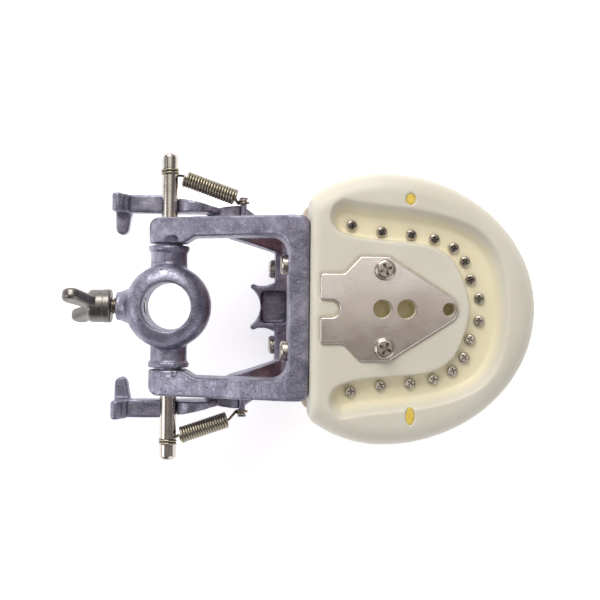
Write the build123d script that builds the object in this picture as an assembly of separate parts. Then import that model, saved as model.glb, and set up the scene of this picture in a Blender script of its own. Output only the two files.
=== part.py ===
from build123d import *
import math
import os

# Typodont model (two jaws of teeth on a hinged, spring-held articulator), in mm.
# Origin: where the hinge axis (Y) crosses the axis of the rod bore (Z).
# +X runs towards the front teeth, +Y to the model's left, +Z up.

# ---- jaw levels and plan ----
TOP_Z = 24.0            # top face of the upper base
BITE_Z = -7.0           # plane where the crowns meet
BASE_H = 17.0           # height of a cream base
GUM_H = 6.0             # gum seen between base and crowns
BITE_GAP = 0.15         # each crown stops this far from the bite plane
BACK_X = 41.0           # flat back of both jaws
MID_X = 61.6            # widest place of a base
HALF_W = 38.45
FRONT_A = 43.65         # length of the front half ellipse
REAR_A = 35.6
BASE_Z = TOP_Z - BASE_H
GUM_Z = BASE_Z - GUM_H
SHOULDER_R = 6.0        # soft edge round the top of a base
CORNER_R = 3.0
CHANNEL_Z = 20.0        # floor of the arch-shaped screw channel
CHANNEL_OUT = 3.2       # how far its outer wall slopes out by the top
CHANNEL_IN = 0.8

# ---- teeth, midline to the back: name, width along the arch, depth across it ----
TOOTH_NAMES = ["central_incisor", "lateral_incisor", "canine", "first_premolar",
               "second_premolar", "first_molar", "second_molar", "third_molar"]
UPPER_SIZES = [(8.5, 7.0), (6.8, 6.2), (7.6, 8.0), (7.0, 9.0),
               (6.8, 9.0), (10.2, 11.0), (9.6, 10.8), (8.8, 10.2)]
LOWER_SIZES = [(5.4, 5.8), (5.9, 6.2), (6.9, 7.6), (7.1, 7.8),
               (7.2, 8.2), (11.2, 10.4), (10.4, 10.0), (9.6, 9.4)]
# where each tooth's screw stands in the channel, one side
UPPER_SCREWS = [(89.0, 3.2), (86.5, 8.5), (84.8, 13.6), (81.5, 17.4),
                (76.0, 19.8), (69.4, 21.0), (61.0, 21.7), (52.5, 23.4)]
LOWER_SCREWS = [(88.4, 2.8), (87.0, 8.0), (84.4, 12.8), (80.6, 16.8),
                (75.2, 19.4), (68.0, 20.9), (59.5, 21.8), (51.0, 23.3)]
ARCH_X = 50.0           # both crown arches are half ellipses about this place
UPPER_ARCH = (46.0, 28.5)
LOWER_ARCH = (43.0, 27.0)
FLAT_CROWN = 0.62       # biting end of a crown, share of its depth
PEG_R = 2.0             # round root that stands in gum and base
PEG_TOP_Z = 15.5
SCREW_R = 0.85
SCREW_HEAD_R = 1.55
SCREW_HEAD_H = 1.0

# ---- mounting plate ----
PLATE_T = 1.5
UPPER_PLATE_TOP = 24.9
LOWER_PLATE_TOP = 21.6  # measured as if upper: set deeper, so the base rests flat
PLATE_HOLES = [(61.0, 2.70), (67.8, 2.82), (79.7, 1.95)]    # x, radius
PLATE_SCREWS = (61.5, 10.9)
PLATE_HEAD_R = 2.95
PLATE_HEAD_H = 1.9
PLATE_SCREW_R = 1.5
POCKET_GAP = 0.45
PLUGS = [(68.7, 30.7, 1.35, 1.6), (69.0, -29.9, 1.25, 2.4)]  # x, y, half sizes
PLUG_DEPTH = 3.0

# ---- hinge, ring and clamping screw ----
PIN_R = 2.5
RUNNING = 0.05          # radial clearance of a turning fit
PIN_IN = 8.7
PIN_OUT = 45.8
GROOVE_Y = 40.2
GROOVE_R = 1.9
GROOVE_W = 1.9
KNUCKLE_R = 5.95
KNUCKLE_IN = 18.7
NECK_OUT = 18.1
NECK_R = 5.45
NECK_FLANGE_R = 6.1
WASHER_R = 4.2
RING_R = 12.5
RING_H = 20.0
ROD_R = 7.1             # bore for the bench rod, 14 mm and 0.1 clearance
BOSS_X = -15.5
BOSS_R = 4.25
WING_R = 2.5            # M5
WING_TIP_X = -6.95
COLLAR_X = -16.9
COLLAR_R = 5.0

# ---- castings ----
BAR_X = 35.0            # back face of the upper crossbar
ARM_IN = 20.5
ARM_OUT = 26.3
FRAME_SCREW_Y = 12.4
UPPER_SCREW_Z = 13.0
LOWER_SCREW_Z = 2 * BITE_Z - UPPER_SCREW_Z
FRAME_SCREW_R = 1.5
FRAME_HEAD_R = 3.0
FRAME_HEAD_H = 2.1
LOWER_BAR_X = 32.3
LOWER_BAR_TOP = -20.0
LOWER_BAR_LOW = -35.0
GUIDE_IN = 28.2
GUIDE_OUT = 33.6
GUIDE_TOP = -2.6
STUD = (22.0, -4.0)     # x, z of the spring stud
STUD_R = 1.0

# ---- springs ----
COIL_R = 2.5
SPRING_END_Z = 0.3
WIRE_R = 0.4


def rod(radius, start, end):
    """Round bar between two points."""
    a, b = Vector(*start), Vector(*end)
    way = b - a
    plane = Plane(origin=a, z_dir=way.normalized())
    return extrude(plane * Circle(radius), way.length)


def hull_face(*shapes):
    """Plan face wrapped tightly round some sketches."""
    edges = [e for s in shapes for e in s.edges()]
    return make_hull(edges)


def across(face, y0, y1):
    """Extrude an x-z profile along Y, from y0 to y1."""
    standing = Plane(origin=(0, y1, 0), x_dir=(1, 0, 0), z_dir=(0, -1, 0))
    return extrude(standing * face, y1 - y0)


def both_sides(shape):
    return [shape, mirror(shape, about=Plane.XZ)]


def to_jaw(shape, jaw):
    """Jaws are drawn as the upper one; the lower is its mirror in the bite plane."""
    if jaw == "upper":
        return shape
    return mirror(shape, about=Plane.XY.offset(BITE_Z))


def try_fillet(shape, edges, radius):
    """Round the edges as one set, or leave them sharp where that fails."""
    try:
        return fillet(edges, radius)
    except Exception:
        print("edges left sharp, radius", radius)
        return shape


# ---------------------------------------------------------------- plan outlines
def d_plan(mid, front, rear, half, back):
    """D shape: two half ellipses that meet at their widest, cut straight at the back."""
    sweep = 90 - math.degrees(math.acos((mid - back) / rear))
    bow = EllipticalCenterArc((mid, 0), front, half, start_angle=-90, arc_size=180)
    left = EllipticalCenterArc((mid, 0), rear, half, start_angle=90, arc_size=sweep)
    right = mirror(left, about=Plane.XZ)
    return make_face([bow, left, Line(left @ 1, right @ 1), right])


def pushed(points, distance):
    """Points of an arch moved outwards from the middle of the jaw."""
    moved = []
    for x, y in points:
        way = Vector(max(x - MID_X, 0) / 29.0 ** 2, y / 27.0 ** 2).normalized() * distance
        moved.append((x + way.X, y + way.Y))
    return moved


def channel_plan(share):
    """Arch-shaped recess of the tooth screws: its floor at share 0, its rim at share 1."""
    outer = pushed([(50.2, 27.4), (65, 25.3), (80, 22.6), (88, 18.3), (92.4, 10), (93.5, 0)],
                   CHANNEL_OUT * share)
    inner = pushed([(50.2, 21.6), (61, 19.7), (69.5, 19.0), (76, 17.7), (81.5, 13.8),
                    (84.6, 7.5), (86.2, 0)], -CHANNEL_IN * share)
    flip = [(x, -y) for x, y in outer[-2::-1]]
    flip_in = [(x, -y) for x, y in inner[-2::-1]]
    out_line = Spline(*outer, *flip)
    in_line = Spline(*inner, *flip_in)
    end = 48.2 - CHANNEL_OUT * 0.6 * share
    end_l = ThreePointArc(inner[0], (end, 24.5), outer[0])
    end_r = ThreePointArc(flip[-1], (end, -24.5), flip_in[-1])
    return make_face([out_line, end_r, in_line, end_l])


def channel():
    """The recess itself, drawn a little past the top face."""
    past = 1.25
    rim_z = CHANNEL_Z + (TOP_Z - CHANNEL_Z) * past
    return loft([Pos(0, 0, CHANNEL_Z) * channel_plan(0), Pos(0, 0, rim_z) * channel_plan(past)])


def plate_plan():
    """Five-sided plate with a rounded tip, a narrow tail and a round-ended notch in it."""
    side = [(43.7, 9.7), (50.3, 9.7), (54.9, 14.5), (63.3, 14.5)]
    pts = side + [(x, -y) for x, y in reversed(side)]
    shoulder = make_face(Polyline(*pts, close=True))
    nose = hull_face(Pos(62.3, 13.5) * Circle(1.0), Pos(62.3, -13.5) * Circle(1.0),
                     Pos(78.4, 0) * Circle(3.8))
    notch = Pos(44.6, 0) * Rectangle(4.0, 5.0) + Pos(46.6, 0) * Circle(2.5)
    face = (shoulder + nose) - notch
    corners = [v for v in face.vertices() if v.X < 43.8 or (v.X < 55 and abs(v.Y) > 5)]
    return fillet(corners, 0.9)


# ---------------------------------------------------------------- teeth
def arch_places(arch, sizes):
    """Crown centre and direction of travel for each tooth, walking back from the midline."""
    places = []
    angle, walked, target = 0.0, 0.0, 0.0
    a, b = arch
    step = 0.0005
    for width, _ in sizes:
        target += width / 2
        while walked < target:
            if angle < math.pi / 2:
                walked += math.hypot(a * math.sin(angle), b * math.cos(angle)) * step
                angle += step
            else:
                walked += 0.01
        beyond = max(0.0, walked - quarter_length(a, b))
        if angle >= math.pi / 2:
            places.append((ARCH_X - beyond, b, 180.0))
        else:
            heading = math.degrees(math.atan2(b * math.cos(angle), -a * math.sin(angle)))
            places.append((ARCH_X + a * math.cos(angle), b * math.sin(angle), heading))
        target += width / 2
    return places


def quarter_length(a, b):
    n = 2000
    dt = math.pi / 2 / n
    return sum(math.hypot(a * math.sin(i * dt), b * math.cos(i * dt)) for i in range(n)) * dt


def axis_point(place, screw, z):
    """Point of a tooth's axis at height z: the root leans from crown to screw."""
    share = (z - BITE_Z) / (CHANNEL_Z - BITE_Z)
    return (place[0] + (screw[0] - place[0]) * share,
            place[1] + (screw[1] - place[1]) * share, z)


def crown(place, screw, size, number):
    width, depth = size
    end = FLAT_CROWN if number > 2 else 0.30
    rows = [(GUM_Z, 0.76, 0.74), (GUM_Z - 3.6, 0.88, 0.94),
            (BITE_Z + BITE_GAP, 0.82, end)]
    sections = []
    for z, across_arch, through in rows:
        x, y, _ = axis_point(place, screw, z)
        x_turn = Location((x, y, z), (0, 0, place[2]))
        sections.append(x_turn * Ellipse(width * across_arch / 2, depth * through / 2))
    return loft(sections)


def tooth(place, screw, size, number):
    """Crown with a round peg root, drilled for its retaining screw."""
    low = axis_point(place, screw, GUM_Z)
    high = axis_point(place, screw, PEG_TOP_Z)
    start = axis_point(place, screw, GUM_Z + 4.0)
    body = crown(place, screw, size, number) + rod(PEG_R, low, high)
    return body - rod(SCREW_R, start, axis_point(place, screw, PEG_TOP_Z + 3))


def screw_cross(radius, depth):
    """Phillips recess, opening at z=0 and going down."""
    arm = Box(radius * 1.15, radius * 0.26, depth, align=(Align.CENTER, Align.CENTER, Align.MAX))
    return arm + Rot(0, 0, 90) * arm


def pan_screw(head_r, head_h, shank_r, shank_len):
    """Pan-head screw along Z with its seat at z=0 and its shank below."""
    head = Cylinder(head_r, head_h, align=(Align.CENTER, Align.CENTER, Align.MIN))
    head = fillet(head.edges().sort_by(Axis.Z)[-1], min(head_r, head_h) * 0.55)
    shank = Cylinder(shank_r, shank_len, align=(Align.CENTER, Align.CENTER, Align.MAX))
    return head + shank - Pos(0, 0, head_h) * screw_cross(head_r, head_h * 0.6)


def along(place, screw):
    """Location of a tooth screw: seat just above the channel floor, leaning as its tooth."""
    seat = Vector(*axis_point(place, screw, CHANNEL_Z + 0.1))
    low = Vector(*axis_point(place, screw, GUM_Z))
    return Plane(origin=seat, z_dir=(seat - low).normalized()).location


# ---------------------------------------------------------------- jaw pieces
def plate(top):
    body = Pos(0, 0, top - PLATE_T) * extrude(plate_plan(), PLATE_T)
    body = try_fillet(body, body.faces().sort_by(Axis.Z)[-1].edges(), 0.35)
    for x, r in PLATE_HOLES:
        body -= Pos(x, 0, top - 1) * Cylinder(r, 6)
    for y in (PLATE_SCREWS[1], -PLATE_SCREWS[1]):
        body -= Pos(PLATE_SCREWS[0], y, top) * Cylinder(PLATE_SCREW_R, 6)
    return body


def plate_screws(top):
    one = pan_screw(PLATE_HEAD_R, PLATE_HEAD_H, PLATE_SCREW_R, 6.0)
    return [Pos(PLATE_SCREWS[0], y, top) * Rot(0, 0, turn) * one
            for y, turn in ((PLATE_SCREWS[1], 20), (-PLATE_SCREWS[1], 65))]


def plug(x, y, half_x, half_y):
    body = extrude(Ellipse(half_x, half_y), PLUG_DEPTH)
    body = fillet(body.edges().sort_by(Axis.Z)[-1], 0.4)
    return Pos(x, y, TOP_Z - PLUG_DEPTH - 0.3) * body


def vault(shift, floor, roof):
    """Palate hollow inside the tooth arch, narrower towards its roof."""
    low = Pos(0, 0, floor) * d_plan(56, 28 - shift, 12, 19.5 - shift, 49 + shift)
    return extrude(low, roof - floor, taper=24)


def block():
    """Outside of a base: soft shoulder all round, then cut straight at the back."""
    plan = d_plan(MID_X, FRONT_A, REAR_A, HALF_W, BACK_X - 11)
    body = Pos(0, 0, BASE_Z) * extrude(plan, BASE_H)
    body = try_fillet(body, body.faces().sort_by(Axis.Z)[-1].edges(), SHOULDER_R)
    body &= Pos(BACK_X, 0, BASE_Z) * Box(100, 100, 100, align=(Align.MIN, Align.CENTER,
                                                               Align.CENTER))
    corners = [e for e in body.edges().filter_by_position(Axis.X, BACK_X - 0.6, BACK_X + 0.6)
               if abs(e.center().Y) > 20 and e.bounding_box().size.Z > 8]
    return try_fillet(body, corners, CORNER_R)


def base(places, screws, plate_top):
    """Cream base: rounded block with channel, plate pocket, plug pits and peg holes."""
    body = block() - channel()
    pocket = offset(plate_plan(), POCKET_GAP)
    body -= Pos(0, 0, plate_top - PLATE_T) * extrude(pocket, 10)
    body -= vault(0, BASE_Z, BASE_Z + 6.5)
    for x, y, half_x, half_y in PLUGS:
        pit = extrude(Ellipse(half_x, half_y), 10)
        body -= Pos(x, y, TOP_Z - PLUG_DEPTH - 0.3) * pit
    for x, r in PLATE_HOLES:
        body -= Pos(x, 0, TOP_Z - 3) * Cylinder(r - 0.2, 8)
    for y in (PLATE_SCREWS[1], -PLATE_SCREWS[1]):
        deep = plate_top - PLATE_T - 4.5
        body -= Pos(PLATE_SCREWS[0], y, deep) * Cylinder(
            PLATE_SCREW_R, 10, align=(Align.CENTER, Align.CENTER, Align.MIN))
    for y in (FRAME_SCREW_Y, -FRAME_SCREW_Y):
        body -= rod(FRAME_SCREW_R, (BACK_X - 1, y, UPPER_SCREW_Z), (BACK_X + 6, y, UPPER_SCREW_Z))
    for place, screw in zip(places, screws):
        peg = rod(PEG_R, axis_point(place, screw, BASE_Z - 4), axis_point(place, screw, PEG_TOP_Z))
        hole = rod(SCREW_R, axis_point(place, screw, 12), axis_point(place, screw, 24))
        seat = along(place, screw) * Cylinder(
            SCREW_HEAD_R + 0.15, 4, align=(Align.CENTER, Align.CENTER, Align.MIN))
        for cut in (peg, hole, seat):
            for half in both_sides(cut):
                body -= half
    return body


def gum(places, screws):
    """Soft gum: slab round the arch, open palate hollow, holes for the pegs."""
    body = Pos(0, 0, GUM_Z) * extrude(d_plan(60, 41, 37, 32.6, BACK_X + 0.6), GUM_H)
    body += vault(0, BASE_Z, BASE_Z + 6.5)
    body -= Pos(0, 0, GUM_Z - 1) * extrude(d_plan(56, 27, 34, 18.5, BACK_X - 1), GUM_H - 1.5)
    body -= vault(2.2, BASE_Z - 3.5, BASE_Z + 4.0)
    for place, screw in zip(places, screws):
        peg = rod(PEG_R, axis_point(place, screw, GUM_Z - 3),
                  axis_point(place, screw, BASE_Z + 4))
        for half in both_sides(peg):
            body -= half
    return body


# ---------------------------------------------------------------- hinge pieces
def clamp_ring():
    """Rod clamp: rounded ring with a neck on each side and a boss for the wing screw."""
    body = Cylinder(RING_R, RING_H)
    body = fillet(body.edges().filter_by(GeomType.CIRCLE), 5.0)
    body += rod(NECK_R, (0, -NECK_OUT, 0), (0, NECK_OUT, 0))
    for y in (NECK_OUT - 1.6, -NECK_OUT):
        body += rod(NECK_FLANGE_R, (0, y, 0), (0, y + 1.6, 0))
    body += rod(BOSS_R, (BOSS_X, 0, 0), (0, 0, 0))
    body += Pos(-RING_R, 0, 0) * Rot(0, -90, 0) * Cone(BOSS_R + 1.6, BOSS_R, 3.6)
    body -= Cylinder(ROD_R, RING_H + 4)
    for sign in (1, -1):
        body -= rod(PIN_R + RUNNING, (0, sign * (PIN_IN - 0.3), 0), (0, sign * 20, 0))
    return body - rod(WING_R + RUNNING, (BOSS_X - 2, 0, 0), (-3, 0, 0))


def hinge_pin():
    body = rod(PIN_R, (0, PIN_IN, 0), (0, PIN_OUT, 0))
    body = fillet(body.edges().sort_by(Axis.Y)[-1], 1.4)
    groove = rod(PIN_R + 1, (0, GROOVE_Y - GROOVE_W / 2, 0), (0, GROOVE_Y + GROOVE_W / 2, 0))
    return body - (groove - rod(GROOVE_R, (0, 30, 0), (0, 50, 0)))


def washer():
    body = rod(WASHER_R, (0, NECK_OUT + 0.1, 0), (0, KNUCKLE_IN - 0.1, 0))
    return body - rod(PIN_R, (0, 10, 0), (0, 30, 0))


def wing_screw_head():
    """Collar, barrel and two thin wings, drilled for the shank."""
    face = COLLAR_X
    body = rod(COLLAR_R, (face, 0, 0), (face - 2.6, 0, 0))
    body = fillet(body.edges().filter_by(GeomType.CIRCLE), 0.5)
    barrel = rod(4.9, (face - 2.6, 0, 0), (face - 7.0, 0, 0))
    barrel = fillet(barrel.edges().sort_by(Axis.X)[0], 1.5)
    wings = []
    for sign in (1, -1):
        root = Pos(face - 5.2, sign * 2.6) * Circle(2.0)
        tip = Pos(face - 10.4, sign * 8.6) * Circle(2.9)
        blade = extrude(hull_face(root, tip), 1.75, both=True)
        rims = blade.edges().group_by(Axis.Z)
        wings.append(fillet(rims[-1] + rims[0], 1.2))
    body = body + barrel + wings[0] + wings[1]
    # the wings stand 20 degrees off vertical, turned about the screw's own axis
    body = Rot(90 - 20, 0, 0) * body
    return body - rod(WING_R, (face - 4.0, 0, 0), (0, 0, 0))


def wing_screw_shank():
    body = rod(WING_R, (COLLAR_X - 4.0, 0, 0), (WING_TIP_X, 0, 0))
    return chamfer(body.edges().sort_by(Axis.X)[-1], 0.6)


# ---------------------------------------------------------------- castings
def frame_screw_holes(z):
    return [rod(FRAME_SCREW_R, (25, y, z), (50, y, z)) for y in (FRAME_SCREW_Y, -FRAME_SCREW_Y)]


def upper_frame():
    """Yoke: crossbar on the jaw's back, two arms that end in hinge knuckles."""
    bar = Pos(38, 12.5) * RectangleRounded(6, 17, 1.2)
    arm = hull_face(Circle(KNUCKLE_R), Pos(37.0, 14.5) * RectangleRounded(7.9, 12.9, 2.5))
    side = across(bar + arm, -ARM_OUT, ARM_OUT)
    outer = Pos(17.5, 0) * Rectangle(47, 2 * ARM_OUT)
    outer = fillet(outer.vertices(), 3.0)
    inner = Pos(13.5, 0) * Rectangle(43, 2 * ARM_IN)
    inner = fillet(inner.vertices().group_by(Axis.X)[-1], 4.5)
    plan = Pos(0, 0, -20) * extrude(outer - inner, 60)
    body = side & plan
    web = make_face(Polyline((3.0, KNUCKLE_IN), (5.2, KNUCKLE_IN), (8.4, ARM_IN + 0.2),
                             (3.0, ARM_IN + 0.2), close=True))
    web = side & (Pos(0, 0, -20) * extrude(web, 60))
    for half in both_sides(rod(KNUCKLE_R, (0, KNUCKLE_IN, 0), (0, ARM_IN + 0.4, 0)) + web):
        body += half
    body -= rod(PIN_R + RUNNING, (0, -40, 0), (0, 40, 0))
    for hole in frame_screw_holes(UPPER_SCREW_Z):
        body -= hole
    return body


def guide_bar():
    """Bar under a hinge pin: stop block at the back, flat for the pin, rounded hump."""
    low = -8.2
    outline = [Line((-16.8, low), (-16.8, 2.4)), ThreePointArc((-16.8, 2.4), (-15.2, 3.6),
                                                              (-13.6, 2.4))]
    outline += [Polyline((-13.6, 2.4), (-13.6, 0.4), (-12.3, 0.4), (-12.3, GUIDE_TOP),
                         (2.65, GUIDE_TOP), (2.65, 0.6))]
    outline += [ThreePointArc((2.65, 0.6), (7.4, 3.8), (12.6, 0.2)),
                Polyline((12.6, 0.2), (14.6, -1.2), (14.6, low), (-16.8, low))]
    side = across(make_face(outline), GUIDE_IN, GUIDE_OUT)
    plan = make_face(Polyline((-18, GUIDE_IN), (16, GUIDE_IN), (16, 29.6), (2.6, 32.4),
                              (-2, GUIDE_OUT), (-18, GUIDE_OUT), close=True))
    return side & (Pos(0, 0, -20) * extrude(plan, 40))


def stop_finger():
    """Hook that turns inward under the knuckle from the back of the guide bar."""
    palm = Pos(-14.5, 29.3) * Circle(2.5)
    tip = Pos(-14.9, 23.6) * Circle(1.9)
    return Pos(0, 0, -11.6) * extrude(hull_face(palm, tip), 5.0)


def lower_arm():
    """Arm from the lower crossbar up to the guide bar, with the spring stud's land."""
    side_pts = [(10.6, -3.8), (13.6, -2.6), (19.0, -2.4), (25.0, -5.6), (34, -20), (34, -34),
                (23, -19), (10.6, -8.2)]
    side = across(make_face(Polyline(*side_pts, close=True)), 15, 32)
    plan = make_face(Polyline((34, 17.2), (18, 21), (13.2, 23.6), (10.6, 28.3), (11.5, 31.0),
                              (14.2, 29.8), (16.0, 30.3), (21.5, 31.0), (25.6, 28.4), (34, 27.6),
                              close=True))
    return side & (Pos(0, 0, -40) * extrude(plan, 50))


def lower_frame():
    """Lower casting: crossbar with a rod cradle, arms, guide bars and stop fingers."""
    length = BACK_X - LOWER_BAR_X
    body = Pos(LOWER_BAR_X + length / 2, 0, (LOWER_BAR_TOP + LOWER_BAR_LOW) / 2) * Box(
        length, 55.2, LOWER_BAR_TOP - LOWER_BAR_LOW)
    body = try_fillet(body, body.edges().filter_by(Axis.X), 2.0)
    tab = make_face(Polyline((34, 8.6), (29.4, 6.8), (25.4, 6.8), (25.4, -6.8), (29.4, -6.8),
                             (34, -8.6), close=True))
    for y in (6.3, -6.3):
        tab += Pos(25.3, y) * Circle(1.1)
    tab -= Pos(20.1, 0) * Circle(7.5)
    body += Pos(0, 0, LOWER_BAR_LOW + 1.5) * extrude(tab, 13.0)
    pocket = Pos(32.0, 0) * RectangleRounded(8.4, 10.2, 1.6)
    body -= Pos(0, 0, LOWER_BAR_TOP - 6) * extrude(pocket, 10)
    for half in both_sides(guide_bar() + lower_arm() + stop_finger()):
        body += half
    for hole in frame_screw_holes(LOWER_SCREW_Z):
        body -= hole
    for sign in (1, -1):
        body -= rod(STUD_R, (STUD[0], sign * 26.5, STUD[1]), (STUD[0], sign * 40, STUD[1]))
    return body


def frame_screws(back_x, z, length):
    one = pan_screw(FRAME_HEAD_R, FRAME_HEAD_H, FRAME_SCREW_R, length)
    lay = Rot(0, -90, 0)
    return [Pos(back_x, y, z) * lay * Rot(0, 0, turn) * one
            for y, turn in ((FRAME_SCREW_Y, 15), (-FRAME_SCREW_Y, 50))]


# ---------------------------------------------------------------- springs
def spring_stud():
    shaft = rod(STUD_R, (STUD[0], 26.5, STUD[1]), (STUD[0], 32.7, STUD[1]))
    cap = rod(STUD_R + 0.3, (STUD[0], 32.7, STUD[1]), (STUD[0], 33.2, STUD[1]))
    return shaft + cap


def spring(sign, start, end):
    """Close-wound coil as a tube, with an eye round the pin's groove and one round the stud."""
    a = (start[0], sign * start[1], -0.2)
    b = (end[0], sign * end[1], SPRING_END_Z)
    way = (Vector(*b) - Vector(*a)).normalized()
    lift = Vector(0, 0, COIL_R - WIRE_R)
    near = Vector(*a) + way * 0.9 + lift
    far = Vector(*b) - way * 0.4 + lift
    tube = rod(COIL_R, a, b) - rod(COIL_R - 2 * WIRE_R, a, b)
    eye = Torus(GROOVE_R + WIRE_R + 0.05, WIRE_R)
    pin_eye = Pos(0, sign * GROOVE_Y, 0) * Rot(90, 0, 0) * eye
    stud_eye = Torus(STUD_R + WIRE_R + 0.05, WIRE_R)
    stud_eye = Pos(STUD[0], sign * 31.8, STUD[1]) * Rot(90, 0, 0) * stud_eye
    pin_link = rod(WIRE_R, (GROOVE_R + WIRE_R + 0.05, sign * GROOVE_Y, 0), near)
    stud_link = rod(WIRE_R, far,
                    (STUD[0] - 0.1, sign * 31.8, STUD[1] + STUD_R + WIRE_R + 0.05))
    return tube + pin_eye + stud_eye + pin_link + stud_link


# ---------------------------------------------------------------- the whole model
def save(name, shape):
    solids = []
    for piece in (shape if isinstance(shape, list) else [shape]):
        solids += list(piece.solids())
    whole = solids[0] if len(solids) == 1 else Compound(children=solids)
    export_step(whole, os.path.join("parts", name + ".step"))


def build_jaw(jaw, arch, sizes, screws, plate_top):
    places = arch_places(arch, sizes)
    save(jaw + "_jaw_base", to_jaw(base(places, screws, plate_top), jaw))
    save(jaw + "_gum", to_jaw(gum(places, screws), jaw))
    tooth_screws = []
    for number, (place, screw) in enumerate(zip(places, screws)):
        left = tooth(place, screw, sizes[number], number)
        one = along(place, screw) * Rot(0, 0, 25 * number) * pan_screw(
            SCREW_HEAD_R, SCREW_HEAD_H, SCREW_R, 9.0)
        for side, shape in zip(("left", "right"), both_sides(left)):
            save(jaw + "_" + side + "_" + TOOTH_NAMES[number], to_jaw(shape, jaw))
        tooth_screws += [to_jaw(half, jaw) for half in both_sides(one)]
    save(jaw + "_tooth_screws", tooth_screws)
    save(jaw + "_mounting_plate", to_jaw(plate(plate_top), jaw))
    save(jaw + "_plate_screws", [to_jaw(s, jaw) for s in plate_screws(plate_top)])
    save(jaw + "_locating_plugs", [to_jaw(plug(*p), jaw) for p in PLUGS])


def main():
    os.makedirs("parts", exist_ok=True)
    build_jaw("upper", UPPER_ARCH, UPPER_SIZES, UPPER_SCREWS, UPPER_PLATE_TOP)
    build_jaw("lower", LOWER_ARCH, LOWER_SIZES, LOWER_SCREWS, LOWER_PLATE_TOP)
    save("upper_frame", upper_frame())
    save("upper_frame_screws", frame_screws(BAR_X, UPPER_SCREW_Z, 10.0))
    save("lower_frame", lower_frame())
    save("lower_frame_screws", frame_screws(LOWER_BAR_X, LOWER_SCREW_Z, 13.0))
    save("clamp_ring", clamp_ring())
    save("left_hinge_pin", hinge_pin())
    save("right_hinge_pin", mirror(hinge_pin(), about=Plane.XZ))
    save("hinge_washers", both_sides(washer()))
    save("wing_screw_head", wing_screw_head())
    save("wing_screw_shank", wing_screw_shank())
    save("spring_studs", both_sides(spring_stud()))
    save("left_spring", spring(1, (4.6, 38.3), (19.6, 32.9)))
    save("right_spring", spring(-1, (3.9, 38.4), (17.6, 33.7)))


main()
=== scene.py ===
import math

import bpy
import bmesh
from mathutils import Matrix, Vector, noise


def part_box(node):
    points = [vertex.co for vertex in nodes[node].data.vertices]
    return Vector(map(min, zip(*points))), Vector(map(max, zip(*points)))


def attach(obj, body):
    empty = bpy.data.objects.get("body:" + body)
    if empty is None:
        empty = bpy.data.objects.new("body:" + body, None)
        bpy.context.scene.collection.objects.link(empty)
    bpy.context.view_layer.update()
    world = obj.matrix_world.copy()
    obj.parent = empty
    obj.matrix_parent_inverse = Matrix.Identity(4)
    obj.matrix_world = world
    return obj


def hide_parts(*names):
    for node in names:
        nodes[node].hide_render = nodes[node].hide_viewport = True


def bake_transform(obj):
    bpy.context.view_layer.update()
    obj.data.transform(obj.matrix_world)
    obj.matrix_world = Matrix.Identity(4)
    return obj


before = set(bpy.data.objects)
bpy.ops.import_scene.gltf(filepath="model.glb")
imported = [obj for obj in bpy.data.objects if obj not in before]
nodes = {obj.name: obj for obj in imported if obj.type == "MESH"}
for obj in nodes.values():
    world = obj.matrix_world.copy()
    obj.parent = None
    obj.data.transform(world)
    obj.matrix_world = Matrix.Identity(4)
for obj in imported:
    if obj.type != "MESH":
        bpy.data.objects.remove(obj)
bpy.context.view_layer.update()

MM = 0.001

# ---- places that the frame gives ----
UPPER_LOW, UPPER_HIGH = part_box("upper_jaw_base")
LOWER_LOW, LOWER_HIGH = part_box("lower_jaw_base")
BITE_Z = (UPPER_LOW.z + LOWER_HIGH.z) / 2
GUM_DEPTH = 0.006                       # gum seen between a base and its crowns
GUM_Z = UPPER_LOW.z - GUM_DEPTH         # edge of the upper gum, before scallops
BACK_X = UPPER_LOW.x

# a base's outline in plan: two half ellipses on one middle, cut off straight at the back
OUTLINE_MID_X = 61.6 * MM
OUTLINE_AHEAD = 43.65 * MM              # half length of the front half ellipse
OUTLINE_BEHIND = 35.6 * MM              # and of the rear one
OUTLINE_HALF = 38.45 * MM               # half width of both
OUTLINE_CORNER = 3.0 * MM               # rounding of the two back corners

TEETH = ["central_incisor", "lateral_incisor", "canine", "first_premolar",
         "second_premolar", "first_molar", "second_molar", "third_molar"]
CANINE = 2                              # places in that list
FIRST_MOLAR = 5
# crown width along the arch and depth across it, in mm, of ordinary adult size
CROWNS = {
    "upper": [(8.5, 7.0), (6.8, 6.2), (7.6, 8.0), (7.0, 9.0),
              (6.8, 9.0), (10.2, 11.0), (9.6, 10.8), (8.8, 10.2)],
    "lower": [(5.4, 5.8), (5.9, 6.2), (6.9, 7.6), (7.1, 7.8),
              (7.2, 8.2), (11.2, 10.4), (10.4, 10.0), (9.6, 9.4)],
}


# =================================================================== materials
def colour_ramp(tree, source, stops):
    """Colours over a 0 to 1 value; each stop is (place, colour)."""
    node = tree.nodes.new("ShaderNodeValToRGB")
    elements = node.color_ramp.elements
    while len(elements) < len(stops):
        elements.new(0.5)
    for element, (place, colour) in zip(elements, stops):
        element.position = place
        element.color = (*colour, 1.0)
    tree.links.new(source, node.inputs["Fac"])
    return node.outputs["Color"]


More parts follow.
